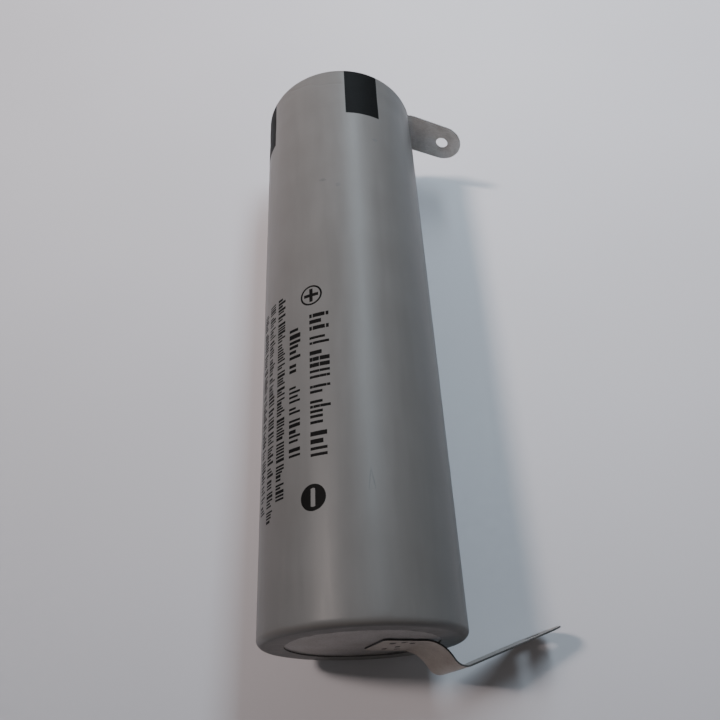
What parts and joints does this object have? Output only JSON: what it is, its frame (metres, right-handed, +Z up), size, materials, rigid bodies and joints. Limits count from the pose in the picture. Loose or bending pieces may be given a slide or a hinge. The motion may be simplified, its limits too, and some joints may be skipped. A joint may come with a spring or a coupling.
{
  "type": "cylindrical battery cell",
  "caption": "Round lithium-ion cell in a grey heat-shrink sleeve, with a bent solder tab welded to each end.",
  "frame": {"origin": "middle of the cell's axis, which is the centre line of its barrel; the cell lies on its side, with the ground 9.225 mm below", "axes": "+Y along the axis to the positive end, +Z up, +X to the side that the solder tabs stick out on"},
  "size_m": [0.0281, 0.0676, 0.0184],
  "materials": {
    "grey_sleeve": "semi-gloss heat-shrink film",
    "nickel_plated_steel": "satin nickel plate",
    "white_fibre": "matt pressed fibre",
    "black_polymer": "matt",
    "bare_aluminium": "satin",
    "clear_plastic": "satin",
    "gasket_plastic": "satin",
    "pin_steel": "satin",
    "graphite_foil": "matt graphite coat on copper",
    "oxide_foil": "matt oxide coat on aluminium",
    "separator_film": "matt film",
    "tape_film": "gloss film",
    "nickel_strip": "rolled nickel, satin"
  },
  "bodies": {
    "cell": {"heat_shrink_sleeve": "grey_sleeve", "steel_can": "nickel_plated_steel", "insulating_washer": "white_fibre", "positive_cap": "nickel_plated_steel", "ptc_ring": "black_polymer", "vent_disc": "bare_aluminium", "cid_insulating_ring": "clear_plastic", "cid_plate": "bare_aluminium", "sealing_gasket": "gasket_plastic", "top_insulator": "gasket_plastic", "bottom_insulator": "gasket_plastic", "centre_pin": "pin_steel", "anode_foil": "graphite_foil", "cathode_foil": "oxide_foil", "separator_inner": "separator_film", "separator_outer": "separator_film", "closing_tape": "tape_film", "anode_lead": "nickel_strip", "cathode_lead": "bare_aluminium", "negative_tab_foot": "nickel_strip", "positive_tab_foot": "nickel_strip"},
    "negative_tab": {"negative_tab_arm": "nickel_strip"},
    "positive_tab": {"positive_tab_arm": "nickel_strip"},
    "pressure_vent": {"vent_panel": "bare_aluminium"}
  },
  "joints": [
    {"name": "negative_tab_bend", "type": "hinge", "parent": "cell", "child": "negative_tab", "pos_m": [0.00372, -0.03265, -0.00147], "axis": [-0.3649, 0, -0.9311], "range_deg": [0, 90]},
    {"name": "positive_tab_bend", "type": "hinge", "parent": "cell", "child": "positive_tab", "pos_m": [0.00495, 0.03272, -0.00074], "axis": [0.1478, 0, 0.989], "range_deg": [0, 90]},
    {"name": "vent_pop", "type": "slide", "parent": "cell", "child": "pressure_vent", "axis": [0, 1, 0], "range_m": [0, 0.0005]}
  ]
}
